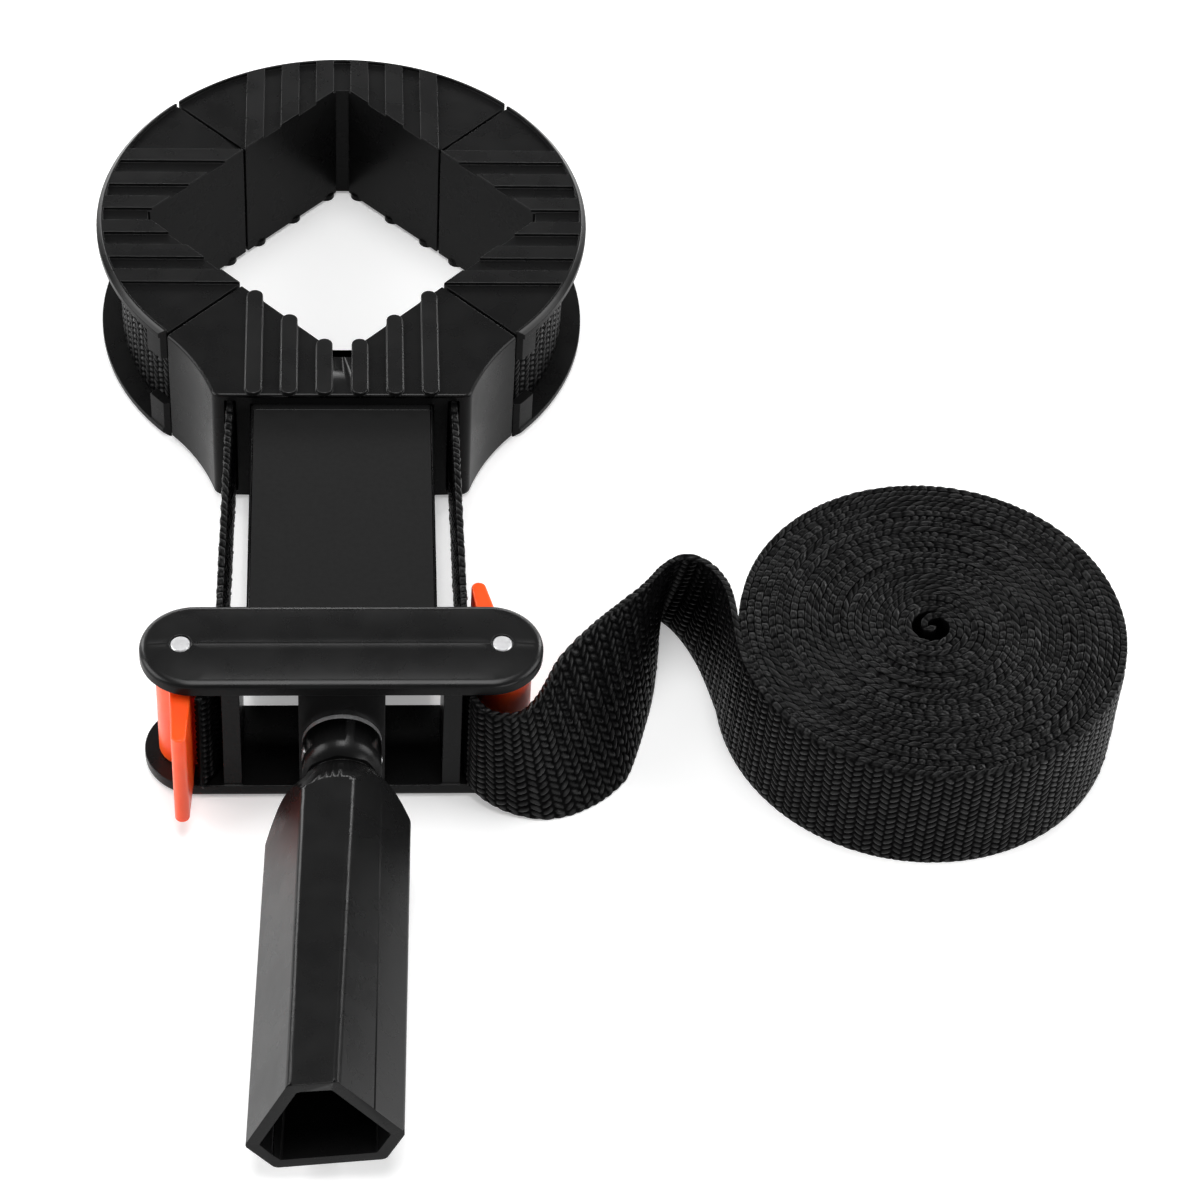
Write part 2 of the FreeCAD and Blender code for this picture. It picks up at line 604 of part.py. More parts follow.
# ---- strap ----------------------------------------------------------------------------------
def strap_arc():
    """The strap over the back jaw."""
    half = STRAP_THICK / 2
    outer = upright(0, 0, RING_STRAP_R + half, RING_STRAP_LOW, RING_STRAP_HIGH)
    return outer.cut(upright(0, 0, RING_STRAP_R - half, 0, RING_HEIGHT)).common(quarter())


def strap_in_front_jaw():
    band = front_band(STRAP_THICK / 2, RING_STRAP_LOW, RING_STRAP_HIGH, 1.0)
    band = band.common(turned(quarter(), 180))
    return band.cut(block(-FAR, FAR, -FAR, HEAD_FRONT_Y, 0, FAR))


def strap_run():
    """The strap on the right from the front jaw, along the yoke's web and out at the front."""
    route = [
        (STRAP_X, HEAD_FRONT_Y - CLEAR),
        (PINCH_X, YOKE_BACK_Y + PINCH_BEFORE),
        (PINCH_X, YOKE_MID_Y - PINCH_AFTER),
        RUN_END,
    ]
    return ribbon(route, RUN_HALF_THICK, YOKE_STRAP_LOW, YOKE_STRAP_HIGH, [TIGHT_RUN_R, 8.0])


def strap_stub():
    """The strap's cut end on the left, led from the web out beside the closed lever."""
    route = [(-PINCH_X, YOKE_MID_Y - CUT_AFTER), (-PINCH_X, YOKE_MID_Y - PINCH_AFTER), STUB_END]
    return ribbon(route, RUN_HALF_THICK, YOKE_STRAP_LOW, YOKE_STRAP_HIGH, [3.0])


def strap_run_left():
    route = [
        (-STRAP_X, HEAD_FRONT_Y - CLEAR),
        (-PINCH_X, YOKE_BACK_Y + PINCH_BEFORE),
        (-PINCH_X, YOKE_MID_Y - CUT_AFTER),
    ]
    return ribbon(route, RUN_HALF_THICK, YOKE_STRAP_LOW, YOKE_STRAP_HIGH, [TIGHT_RUN_R])


# ---- write every sub-part -------------------------------------------------------------------
save("front_jaw", front_jaw())
jaw = loose_jaw()
save("back_jaw", jaw)
save("left_jaw", turned(jaw, 90))
save("right_jaw", turned(jaw, -90))
save("spindle_housing", spindle_housing())
save("label_plate", label_plate())
save("spindle_nut", spindle_nut())
save("yoke", yoke())
save("lever_pin_left", lever_pin(-1))
save("lever_pin_right", lever_pin(1))
save("cam_lever_left", closed_lever())
save("cam_lever_right", open_lever())
save("thrust_washer", washer(HUB_BACK_Y + FIT, COLLAR_FRONT_Y - FIT))
save("neck_washer", washer(HUB_FRONT_Y - NECK_GAP + FIT, HUB_FRONT_Y - FIT))
save("spindle", spindle())
save("handle", handle())
save("handle_pin", handle_pin_solid(HANDLE_PIN_R, NECK_R - SNUG))

arc = strap_arc()
split_half = SPLIT_GAP / 2
save("strap_back_left", arc.common(block(-FAR, -split_half, 0, FAR, 0, FAR)))
save("strap_back_right", arc.common(block(split_half, FAR, 0, FAR, 0, FAR)))
save("strap_left_jaw", turned(arc, 90))
save("strap_right_jaw", turned(arc, -90))
band = strap_in_front_jaw()
save("strap_front_right", band)
save("strap_front_left", mirrored(band))
save("strap_run_right", strap_run())
save("strap_run_left", strap_run_left())
save("strap_stub_left", strap_stub())
save("strap_tail", ribbon(TAIL_ROUTE, TAIL_HALF_THICK, TAIL_LOW, TAIL_LOW + STRAP_WIDTH))
save("strap_roll", upright(*ROLL_CENTRE, ROLL_R, 0.0, STRAP_WIDTH))
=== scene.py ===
"""The looks of a four-jaw strap clamp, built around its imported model. Metres, in the model's own frame."""

import json
import math

import bmesh
import bpy
import numpy as np
from mathutils import Matrix, Vector


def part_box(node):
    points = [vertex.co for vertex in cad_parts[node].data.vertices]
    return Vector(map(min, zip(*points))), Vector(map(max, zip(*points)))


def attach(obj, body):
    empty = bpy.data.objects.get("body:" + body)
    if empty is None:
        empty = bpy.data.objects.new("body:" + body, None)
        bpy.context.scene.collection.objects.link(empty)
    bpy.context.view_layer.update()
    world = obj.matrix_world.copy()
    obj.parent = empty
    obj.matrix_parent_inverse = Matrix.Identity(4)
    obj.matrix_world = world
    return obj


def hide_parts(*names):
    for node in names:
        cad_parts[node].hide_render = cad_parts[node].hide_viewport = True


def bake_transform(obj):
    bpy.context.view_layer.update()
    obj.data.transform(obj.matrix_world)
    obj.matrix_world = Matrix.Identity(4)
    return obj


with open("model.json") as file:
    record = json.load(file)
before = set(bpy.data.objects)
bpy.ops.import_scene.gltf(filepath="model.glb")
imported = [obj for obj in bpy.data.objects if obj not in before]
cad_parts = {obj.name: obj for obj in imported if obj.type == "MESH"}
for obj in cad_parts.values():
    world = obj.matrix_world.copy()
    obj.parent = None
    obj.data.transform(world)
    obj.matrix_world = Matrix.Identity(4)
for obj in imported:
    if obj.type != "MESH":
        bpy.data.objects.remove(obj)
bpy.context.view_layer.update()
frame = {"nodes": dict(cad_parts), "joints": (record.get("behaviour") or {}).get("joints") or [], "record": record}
NODES = frame["nodes"]
JOINTS = {joint["name"]: joint for joint in frame["joints"]}
BODY_OF = {node: body for body, nodes in frame["record"]["behaviour"]["bodies"].items() for node in nodes}
MM = 0.001

# ---- places read from the model ---------------------------------------------------------------
left_low, left_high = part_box("left_jaw")
RING_Y = (left_low.y + left_high.y) / 2  # ring axis, at x = 0
RING_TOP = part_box("back_jaw")[1].z
HEAD_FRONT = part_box("front_jaw")[0].y
yoke_low, yoke_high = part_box("yoke")
run_low, run_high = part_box("strap_run_right")
arc_low, arc_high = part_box("strap_back_right")
roll_low, roll_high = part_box("strap_roll")
PIN = Vector(JOINTS["lever_right_turn"]["pos_m"])
STRAP_WIDTH = arc_high.z - arc_low.z
STRAP_HALF = 0.65 * MM
RING_STRAP_R = arc_high.y - RING_Y - STRAP_HALF  # the strap's middle in the ring's channel


# ---- materials --------------------------------------------------------------------------------
class Material:
    """A node material whose links are added one by one."""

    def __init__(self, name, color, roughness, **sockets):
        self.material = bpy.data.materials.new(name)
        self.material.use_nodes = True
        self.tree = self.material.node_tree
        self.shader = self.tree.nodes["Principled BSDF"]
        self.shader.inputs["Base Color"].default_value = (*color, 1.0)
        self.shader.inputs["Roughness"].default_value = roughness
        for socket, value in sockets.items():
            self.shader.inputs[socket.replace("_", " ")].default_value = value
        self.place = self.tree.nodes.new("ShaderNodeTexCoord").outputs["Object"]

    def node(self, kind, **inputs):
        made = self.tree.nodes.new("ShaderNode" + kind)
        for name, value in inputs.items():
            self.feed(made.inputs[name.replace("_", " ")], value)
        return made

    def feed(self, socket, value):
        if isinstance(value, bpy.types.NodeSocket):
            self.tree.links.new(value, socket)
        else:
            socket.default_value = value

    def noise(self, scale, detail, stretch=(1.0, 1.0, 1.0)):
        mapped = self.node("Mapping", Vector=self.place, Scale=stretch)
        noise = self.node("TexNoise", Vector=mapped.outputs["Vector"], Scale=scale, Detail=detail)
        return noise.outputs["Fac"]

    def spread(self, value, low, high, start=0.3, stop=0.7):
        """The value's middle stretch mapped from low to high."""
        ranged = self.node("MapRange", Value=value)
        for socket, number in (("From Min", start), ("From Max", stop), ("To Min", low), ("To Max", high)):
            ranged.inputs[socket].default_value = number
        return ranged.outputs["Result"]

    def tinted(self, value, dark, light):
        ramp = self.node("ValToRGB", Fac=value)
        ramp.color_ramp.elements[0].color = (*dark, 1.0)
        ramp.color_ramp.elements[1].color = (*light, 1.0)
        ramp.color_ramp.elements[0].position = 0.3
        ramp.color_ramp.elements[1].position = 0.7
        self.feed(self.shader.inputs["Base Color"], ramp.outputs["Color"])

    def rough(self, value):
        self.feed(self.shader.inputs["Roughness"], value)

    def bump(self, height, depth):
        """Fine relief, with its depth in metres."""
        bump = self.node("Bump", Height=height, Distance=depth, Strength=1.0)
        self.feed(self.shader.inputs["Normal"], bump.outputs["Normal"])


def moulded_plastic(name, dark, light, smooth, rough, gloss, wall_gloss, groove_shade_height=None):
    """Injection-moulded plastic: faint flow marks, fine grain and uneven gloss, with painted shade as a lower
    specular level on upright walls.

    Below a given height the surface reflects less, as painted shade in the grooves between the ribs, and above it
    more, as a painted sheen on the rib tops.
    """
    made = Material(name, dark, smooth, IOR=1.5)
    flow = made.noise(60.0, 3.0, (1.0, 0.45, 1.0))
    made.tinted(flow, dark, light)
    made.rough(made.spread(made.noise(140.0, 4.0), smooth, rough))
    made.bump(made.noise(2600.0, 2.0), 0.005 * MM)
    surface = made.node("NewGeometry").outputs
    upwards = made.node("SeparateXYZ", Vector=surface["Normal"]).outputs["Z"]
    # Painted shade: upright walls get a lower specular level than level tops, so they look darker.
    shine = made.spread(upwards, wall_gloss, gloss, 0.25, 0.85)
    if groove_shade_height:
        # Painted shade in the grooves below the given height, and a painted sheen on the rib tops above it.
        height = made.node("SeparateXYZ", Vector=surface["Position"]).outputs["Z"]
        groove_shade_factor = made.spread(height, 0.75, 1.35, groove_shade_height - 0.2 * MM, groove_shade_height + 0.1 * MM)
        product = made.node("Math")
        product.operation = "MULTIPLY"
        made.feed(product.inputs[0], shine)
        made.feed(product.inputs[1], groove_shade_factor)
        shine = product.outputs["Value"]
    made.feed(made.shader.inputs["Specular IOR Level"], shine)
    return made.material


def label_material():
    made = Material("label_matt", (0.006, 0.006, 0.006), 0.62, IOR=1.5, Specular_IOR_Level=0.12)
    made.tinted(made.noise(120.0, 3.0), (0.0058, 0.0058, 0.0058), (0.0062, 0.0062, 0.0062))
    made.rough(made.spread(made.noise(900.0, 2.0), 0.55, 0.7))
    made.bump(made.noise(4200.0, 2.0), 0.005 * MM)
    return made.material


def steel_material():
    made = Material("zinc_steel", (0.8, 0.8, 0.81), 0.4, Metallic=1.0)
    made.tinted(made.noise(800.0, 3.0), (0.78, 0.78, 0.79), (0.9, 0.9, 0.91))
    made.rough(made.spread(made.noise(1500.0, 3.0, (1.0, 6.0, 1.0)), 0.35, 0.5))
    made.bump(made.noise(3000.0, 2.0, (1.0, 8.0, 1.0)), 0.004 * MM)
    return made.material


def webbing_material():
    """Nylon yarn. The weave is in the mesh. This adds filaments, and painted shade as a lower specular level in
    the grooves between the yarns.
    """
    made = Material("nylon_webbing", (0.002, 0.002, 0.002), 0.4, IOR=1.5)
    height = made.node("Attribute")
    height.attribute_name = "yarn_height"
    made.tinted(made.noise(700.0, 3.0), (0.001, 0.001, 0.0011), (0.003, 0.003, 0.0031))
    made.rough(made.spread(made.noise(1100.0, 2.0), 0.26, 0.4))
    # Painted shade: the specular level follows the yarn height and is low in the grooves between the yarns.
    shine = made.spread(height.outputs["Fac"], 0.01, 0.19, 0.35, 1.0)
    made.feed(made.shader.inputs["Specular IOR Level"], shine)
    made.bump(made.noise(5200.0, 2.0), 0.03 * MM)
    return made.material


# The last two values are the gloss on level tops and the lower gloss on upright walls, which paints shade on the
# walls.
BLACK_LOOK = ((0.0045, 0.0045, 0.0046), (0.0062, 0.0062, 0.0063), 0.25, 0.31, 0.28, 0.07)
BLACK = moulded_plastic("black_plastic", *BLACK_LOOK)
RIB_RISE = 0.7 * MM
# Jaw plastic with painted shade in the grooves between the ribs and a painted sheen on the rib tops.
JAW_BLACK = moulded_plastic("jaw_plastic", *BLACK_LOOK, groove_shade_height=RING_TOP - RIB_RISE / 2)
ORANGE = moulded_plastic("orange_plastic", (0.82, 0.065, 0.006), (0.92, 0.09, 0.01), 0.28, 0.36, 0.4, 0.4)
ORANGE_GLOW = {"Subsurface Weight": 0.5, "Subsurface Radius": (1.0, 0.35, 0.1), "Subsurface Scale": 5.0 * MM}
for socket, value in ORANGE_GLOW.items():
    ORANGE.node_tree.nodes["Principled BSDF"].inputs[socket].default_value = value
LABEL = label_material()
STEEL = steel_material()
WEBBING = webbing_material()
LOOKS = {"black_plastic": BLACK, "orange_plastic": ORANGE, "label": LABEL, "steel": STEEL, "webbing": WEBBING}
SLOT_OF = {entry["node"]: entry["material_slot"] for entry in frame["record"]["subparts"]}


# ---- pieces -----------------------------------------------------------------------------------
def add_object(name, mesh, material):
    piece = bpy.data.objects.new(name, mesh)
    bpy.context.scene.collection.objects.link(piece)
    mesh.materials.clear()
    mesh.materials.append(material)
    return piece


FLAT = math.radians(0.6)  # faces that meet at less than this are one face
SHARP = math.radians(28)  # edges sharper than this are rounded
NEAR = 0.01 * MM
TINY = 0.001 * MM


def softened_copy(node, width, merge=TINY, shaping=None, left_sharp=lambda edge: False):
    """A copy of a rigid node with its sharp edges rounded, which stands for it.

    shaping changes the copy before that, and left_sharp picks the edges that aren't rounded.
    """
    mesh = NODES[node].data.copy()
    shape = bmesh.new()
    shape.from_mesh(mesh)
    bmesh.ops.remove_doubles(shape, verts=shape.verts, dist=merge)
    bmesh.ops.dissolve_limit(shape, angle_limit=FLAT, verts=shape.verts, edges=shape.edges)
    if shaping:
        shaping(shape)
    weight = shape.edges.layers.float.new("bevel_weight_edge")
    for edge in shape.edges:
        sharp = edge.calc_face_angle(0.0) > SHARP
        edge[weight] = 1.0 if sharp and not left_sharp(edge) else 0.0
    shape.to_mesh(mesh)
    shape.free()
    if "custom_normal" in mesh.attributes:
        mesh.attributes.remove(mesh.attributes["custom_normal"])
    piece = add_object(node + "_piece", mesh, JAW_BLACK if node.endswith("jaw") else LOOKS[SLOT_OF[node]])
    mesh.shade_smooth()
    bevel = piece.modifiers.new("edges", "BEVEL")
    bevel.width = width
    bevel.segments = 3
    bevel.limit_method = "WEIGHT"
    bevel.use_clamp_overlap = False
    bevel.harden_normals = True
    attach(piece, BODY_OF[node])
    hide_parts(node)
    return piece


for node, cad_object in NODES.items():
    cad_object.data.materials.clear()
    cad_object.data.materials.append(LOOKS[SLOT_OF[node]])

YOKE_MIDDLE = (yoke_low.y + yoke_high.y) / 2
YOKE_ROUND = (yoke_high.y - yoke_low.y) / 2
CROWN = 0.5 * MM  # how much the yoke's top falls away towards its rim
CROWN_DEPTH = 1.6 * MM  # height of its rounded rim, over which the fall fades out
SEAM_HALF = 0.28 * MM  # mould seam along the top
SEAM_RISE = 0.09 * MM
HANDLE_SEAM_RISE = 0.6 * SEAM_RISE
CROWN_ROWS = (-1, -0.8, -0.6, -0.4, -0.2, 0.2, 0.4, 0.6, 0.8, 1)  # cuts from rim to rim
CROWN_COLUMN = 2.5 * MM
CUT_REACH = 1e-7  # metres


def split_faces(shape, faces, place, normal):
    """Split these faces along a plane."""
    parts = faces + list(dict.fromkeys(edge for face in faces for edge in face.edges))
    parts += list(dict.fromkeys(vert for face in faces for vert in face.verts))
    bmesh.ops.bisect_plane(shape, geom=parts, dist=CUT_REACH, plane_co=place, plane_no=normal)


def cut_top(shape, place, normal):
    """Split the faces of the yoke's top along a plane."""
    faces = [face for face in shape.faces if face.calc_center_median().z > yoke_high.z - CROWN_DEPTH]
    split_faces(shape, faces, place, normal)


def crowned(shape):
    """The yoke with a slightly domed top and a mould seam along its middle."""
    rim = YOKE_ROUND - CROWN_DEPTH
    for y in [share * rim for share in CROWN_ROWS] + [-SEAM_HALF, 0.0, SEAM_HALF]:
        cut_top(shape, (0, YOKE_MIDDLE + y, 0), (0, 1, 0))
    columns = int(yoke_high.x / CROWN_COLUMN)
    for i in range(-columns, columns + 1):
        cut_top(shape, (i * CROWN_COLUMN, 0, 0), (1, 0, 0))
    for vert in shape.verts:
        beyond = max(abs(vert.co.x) - (yoke_high.x - YOKE_ROUND), 0.0)
        off = vert.co.y - YOKE_MIDDLE
        out = min(math.hypot(beyond, off) / rim, 1.0)
        top = min(max((vert.co.z - yoke_high.z) / CROWN_DEPTH + 1.0, 0.0), 1.0)
        on_seam = abs(off) < SEAM_HALF / 2 and top > 0.99
        vert.co.z += (SEAM_RISE if on_seam else 0.0) - CROWN * out * out * top


def parted(shape):
    """The handle with a fine mould seam along its upper right side."""
    face = max(shape.faces, key=lambda f: f.calc_area() * (min(f.normal.x, f.normal.z) > 0.3))
    middle, outwards = face.calc_center_median(), face.normal.copy()
    sideways = outwards.cross(Vector((0, 1, 0))).normalized()
    for off in (-SEAM_HALF, 0.0, SEAM_HALF):
        faces = [face for face in shape.faces if face.normal.dot(outwards) > 0.999]
        split_faces(shape, faces, middle + sideways * off, sideways)
    for vert in shape.verts:
        away = vert.co - middle
        if abs(away.dot(sideways)) < SEAM_HALF / 2 and abs(away.dot(outwards)) < SEAM_HALF:
            vert.co += outwards * HANDLE_SEAM_RISE


GROOVE_HALF = 1.85 * MM  # half width of the front jaw's corner groove
RIB_SIDE = 1.875 * MM  # where the ribs beside it begin
GROOVE_FRONT = HEAD_FRONT + 8.0 * MM  # the groove lies behind this
SHORT = 1.5 * MM  # edges of the handle's facets around its neck are shorter


def without_ledge(shape):
    """The front jaw with the corner groove's walls in line with the ribs beside it."""
    for vert in shape.verts:
        if GROOVE_HALF - NEAR < abs(vert.co.x) < RIB_SIDE + NEAR:
            vert.co.x = math.copysign(RIB_SIDE, vert.co.x)
    bmesh.ops.remove_doubles(shape, verts=shape.verts, dist=NEAR)
    bmesh.ops.dissolve_degenerate(shape, dist=TINY, edges=shape.edges)
    bmesh.ops.dissolve_limit(shape, angle_limit=FLAT, verts=shape.verts, edges=shape.edges)


def in_groove(edge):
    """Whether an edge belongs to the corner groove of the front jaw."""
    return all(abs(vert.co.x) < RIB_SIDE + NEAR and vert.co.y > GROOVE_FRONT for vert in edge.verts)


def short(edge):
    """Whether an edge is one of the small ones around the handle's neck."""
    return edge.calc_length() < SHORT


softened_copy("front_jaw", 0.2 * MM, shaping=without_ledge, left_sharp=in_groove)
for node in ("back_jaw", "left_jaw", "right_jaw"):
    softened_copy(node, 0.1 * MM, 0.06 * MM)
softened_copy("spindle_housing", 0.2 * MM)
softened_copy("yoke", 0.18 * MM, shaping=crowned)
for node in ("cam_lever_left", "cam_lever_right"):
    softened_copy(node, 0.35 * MM)
handle_piece = softened_copy("handle", 0.2 * MM, shaping=parted, left_sharp=short)
handle_piece.modifiers.new("even", "WEIGHTED_NORMAL").weight = 50


# ---- webbing ----------------------------------------------------------------------------------
COLUMN = 1.85 * MM  # one column of slanted stitches, which runs across the strap
STITCH = 1.55 * MM  # spacing of the stitches in a column
STEP = COLUMN / 6
LEAN = 0.75  # rise of a stitch across its column, in stitches
RELIEF = 0.42 * MM
BEAD = 1.9 * MM  # spacing of the beads along the strap's edges
BEAD_HEIGHT = 0.5 * MM
EDGE_INSET = 0.3 * MM
EDGE_PLACES = (-0.94, -0.6, -0.2, 0.2, 0.6, 0.94)  # through the thickness
SPOTS = (0.012, 0.988)  # the flat sides' first and last point, as shares of the width
FADE_SHARE, FADE_LEAST = 0.03, 0.3  # the weave is lower over this share of the width at each edge
SUNK = 0.55  # share of the weave's relief that lies inside the strap's thickness
EDGE_FULLNESS = 0.45
LOOP_COUNT, TAIL_COUNT, ROLL_COUNT = 84, 80, 92  # points across the strap's width
ARC_COUNT = 60  # points on an arc, before it is resampled


def scatter(number):
    """A steady value from 0 to 1 for each whole number."""
    wave = np.sin(number * 12.9898 + 4.1) * 43758.5453
    return wave - np.floor(wave)


def stitch_height(along, across):
    """Height of the herringbone weave, from 0 in its grooves to 1."""
    column = np.floor(along / COLUMN)
    u = along / COLUMN - column
    lean = np.where(column % 2 == 0, LEAN, -LEAN)
    v = across / STITCH + lean * (u - 0.5) + 0.5 * (column % 2)
    row = np.floor(v)
    f = v - row
    seed = 1 - np.abs(2 * u - 1) ** 3 - ((2 * f - 1) / 0.88) ** 2
    tight = 0.75 + 0.35 * scatter(column * 57 + row)
    return np.sqrt(np.clip(seed, 0, 1)) * tight


def edge_height(along, side):
    """Height of the beads along the strap's edges; side runs from -1 to 1 through its thickness."""
    slant = 0.15 + 0.3 * np.sin(along / (5.7 * BEAD))
    wander = 0.45 * np.sin(along / (1.7 * BEAD)) + 0.35 * np.sin(along / (4.1 * BEAD))
    twist = along / BEAD + side * slant + wander
    bead = np.sqrt(np.abs(np.sin(np.pi * twist)))
    return bead * (0.7 + 0.35 * scatter(np.floor(twist)))


def strap_section(fine_front, fine_back, count):
    """The strap's outline in rows of across (0 to 1), side (-1 to 1), weave (0 or 1) and edge (-1 to 1)."""
    rows = []
    for side, fine in ((1, fine_front), (-1, fine_back)):
        spots = np.linspace(*SPOTS, count if fine else 3)
        rows += [(spot, side, 1 if fine else 0, 0) for spot in spots[::side]]
        for place in EDGE_PLACES:
            rows.append((0.5 + side / 2, -place * side, 0, side * (0.7 + 0.3 * math.sqrt(1 - place * place))))
    return np.array(rows, float)


def webbing(name, bottoms, tops, start, count, fine_front=True, fine_back=True, half=STRAP_HALF):
    """A strap through stations given as its lower and upper edges; the weave's phase begins at start."""
    bottoms, tops = np.array(bottoms, float), np.array(tops, float)
    middle = (bottoms + tops) / 2
    along = start + np.concatenate([[0], np.cumsum(np.linalg.norm(np.diff(middle, axis=0), axis=1))])
    tangent = np.gradient(middle, axis=0)
    tangent /= np.linalg.norm(tangent, axis=1)[:, None]
    across = tops - bottoms
    width = np.linalg.norm(across, axis=1)
    across /= width[:, None]
    normal = np.cross(tangent, across)
    normal /= np.linalg.norm(normal, axis=1)[:, None]
    section = strap_section(fine_front, fine_back, count)
    spot, side, relief, edge = (column[None, :] for column in section.T)
    s = along[:, None]
    shift = np.where(side < 0, STITCH / 2, 0)
    stitches = stitch_height(s, spot * STRAP_WIDTH + shift)
    beads = edge_height(s, side)
    height = stitches * RELIEF * relief
    taper = np.clip(np.minimum(spot, 1 - spot) / FADE_SHARE, FADE_LEAST, 1)
    out = side * (half - RELIEF * SUNK * relief + height * taper)
    lift = edge * (beads * BEAD_HEIGHT + EDGE_INSET * EDGE_FULLNESS)
    base = EDGE_INSET + spot * (width[:, None] - 2 * EDGE_INSET)
    points = (
        bottoms[:, None, :]
        + across[:, None, :] * (base + lift)[:, :, None]
        + normal[:, None, :] * (out * np.ones_like(s))[:, :, None]
    )
    n, m = points.shape[:2]
    ring = np.arange(m)
    ahead = (ring + 1) % m
    first = (np.arange(n - 1) * m)[:, None]
    quads = np.stack([first + ring, first + ahead, first + m + ahead, first + m + ring], -1).reshape(-1, 4)
    faces = quads.tolist() + [list(range(m))[::-1], [(n - 1) * m + i for i in range(m)]]
    mesh = bpy.data.meshes.new(name)
    mesh.from_pydata(points.reshape(-1, 3).tolist(), [], faces)
    mesh.shade_smooth()
    # The yarn height goes to the material, which uses it to paint shade into the grooves.
    shown = np.where(edge != 0, beads, np.where(relief != 0, stitches, 0.5) * np.ones_like(s))
    mesh.attributes.new("yarn_height", "FLOAT", "POINT").data.foreach_set("value", shown.ravel())
    piece = add_object(name, mesh, WEBBING)
    return piece, along[-1]


def resampled(points, step=STEP):
    """The same line with evenly spaced points."""
    points = np.array(points, float)
    length = np.concatenate([[0], np.cumsum(np.linalg.norm(np.diff(points, axis=0), axis=1))])
    count = max(int(round(length[-1] / step)), 2)
    wanted = np.linspace(0, length[-1], count + 1)
    return np.stack([np.interp(wanted, length, points[:, i]) for i in range(points.shape[1])], 1)


def arc(centre, radius, first, last):
    """Points on an arc in plan, angles in degrees."""
    angles = np.radians(np.linspace(first, last, ARC_COUNT))
    return [(centre[0] + radius * math.cos(a), centre[1] + radius * math.sin(a)) for a in angles]


def on_edge(plan, low_start, low_end, start_share, end_share):
    """Stations of a strap on edge over a plan line; its lower edge ramps between two heights."""
    plan = resampled(plan)
    share = np.clip((np.linspace(0, 1, len(plan)) - start_share) / (end_share - start_share), 0, 1)
    low = low_start + (low_end - low_start) * share
    bottoms = np.column_stack([plan, low])
    tops = np.column_stack([plan, low + STRAP_WIDTH])
    return bottoms, tops


# The loop lies over the jaws, bends forward inside the front jaw and runs straight to the yoke.
ring_centre = (0.0, RING_Y)
on_ring = RING_STRAP_R * math.sqrt(0.5)
exit_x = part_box("strap_front_right")[0].x + STRAP_HALF
bend_y = RING_Y + exit_x - 2 * on_ring
bend_radius = (bend_y - HEAD_FRONT) / math.tan(math.radians(22.5))
CAM_RADIUS = 6.0 * MM
pinch_x = PIN.x - CAM_RADIUS - STRAP_HALF
pinch_back = yoke_high.y - 1.5 * MM  # the strap runs straight between these two, along the yoke's web
pinch_front = PIN.y - 5.0 * MM
run_end = Vector((run_high.x - 0.64 * MM, run_low.y + 0.16 * MM))
stub_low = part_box("strap_stub_left")[0]
stub_end = (-stub_low.x - 0.6 * MM, stub_low.y + 0.2 * MM)
RISE_SHARES = (0.24, 0.8)  # part of the run over which the strap rises to the yoke


def front_bend(x_sign):
    """Plan line from the middle of a front jaw's band to its front face."""
    centre = (x_sign * (exit_x + bend_radius), HEAD_FRONT)
    first, last = (135, 180) if x_sign > 0 else (45, 0)
    return arc(centre, bend_radius, first, last)


def mirrored(points):
    return [(-x, y) for x, y in points]


loop_low = arc_low.z
bend_start = front_bend(1)[0]


def lay_loop(side, plan, name, start_end, phase, nodes, low_end=loop_low, shares=(0, 1)):
    """One stretch of the loop, which spans two bodies."""
    line = plan if side > 0 else mirrored(plan)
    bottoms, tops = on_edge(line, loop_low, low_end, *shares)
    on_run = low_end > loop_low
    piece, end = webbing(name, bottoms, tops, phase, LOOP_COUNT, side < 0 or on_run, side > 0 or on_run)
    start, stop = start_end
    if side < 0:
        start, stop = (-start[0], *start[1:]), (-stop[0], *stop[1:])
    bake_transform(piece)
    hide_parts(*nodes)
    return end


SPLIT_STRETCH = 7.0 * MM  # half of the stretch either side of a split between two jaws
BACK_GAP = 0.4  # degrees from the middle of the back, where the two sides of the loop meet
mid_z = loop_low + STRAP_WIDTH / 2


def near_split(angle, spread):
    """Two points either side of a split between jaws, along the strap's way."""
    a = math.radians(angle)
    at = np.array((RING_STRAP_R * math.cos(a), RING_Y + RING_STRAP_R * math.sin(a)))
    way = np.array((-math.sin(a), math.cos(a)))
    return (*(at - way * spread), mid_z), (*(at + way * spread), mid_z)


# Each side from the back: over the back jaw and side jaw, over the side jaw and front jaw, then to the yoke.
for side, word in ((1, "right"), (-1, "left")):
    before, after = near_split(45, SPLIT_STRETCH)
    phase = lay_loop(
        side,
        arc(ring_centre, RING_STRAP_R, 90 - BACK_GAP, 0),
        f"strap_over_back_{word}",
        (before, after),
        0.0,
        [f"strap_back_{word}", f"strap_{word}_jaw"],
    )
    before, after = near_split(-45, SPLIT_STRETCH)
    phase = lay_loop(
        side,
        arc(ring_centre, RING_STRAP_R, 0, -45) + [bend_start],
        f"strap_over_side_{word}",
        (before, after),
        phase,
        [f"strap_{word}_jaw", f"strap_front_{word}"],
    )
    plan = front_bend(1) + [(pinch_x, pinch_back), (pinch_x, pinch_front)]
    nodes = [f"strap_front_{word}", f"strap_run_{word}"]
    if side > 0:
        plan.append(tuple(run_end))
    else:
        plan.append(stub_end)
        nodes.append("strap_stub_left")
    lay_loop(
        side,
        plan,
        f"strap_run_{word}_web",
        ((exit_x, HEAD_FRONT, mid_z), (pinch_x, yoke_high.y, mid_z)),
        phase,
        nodes,
        run_low.z,
        RISE_SHARES,
    )


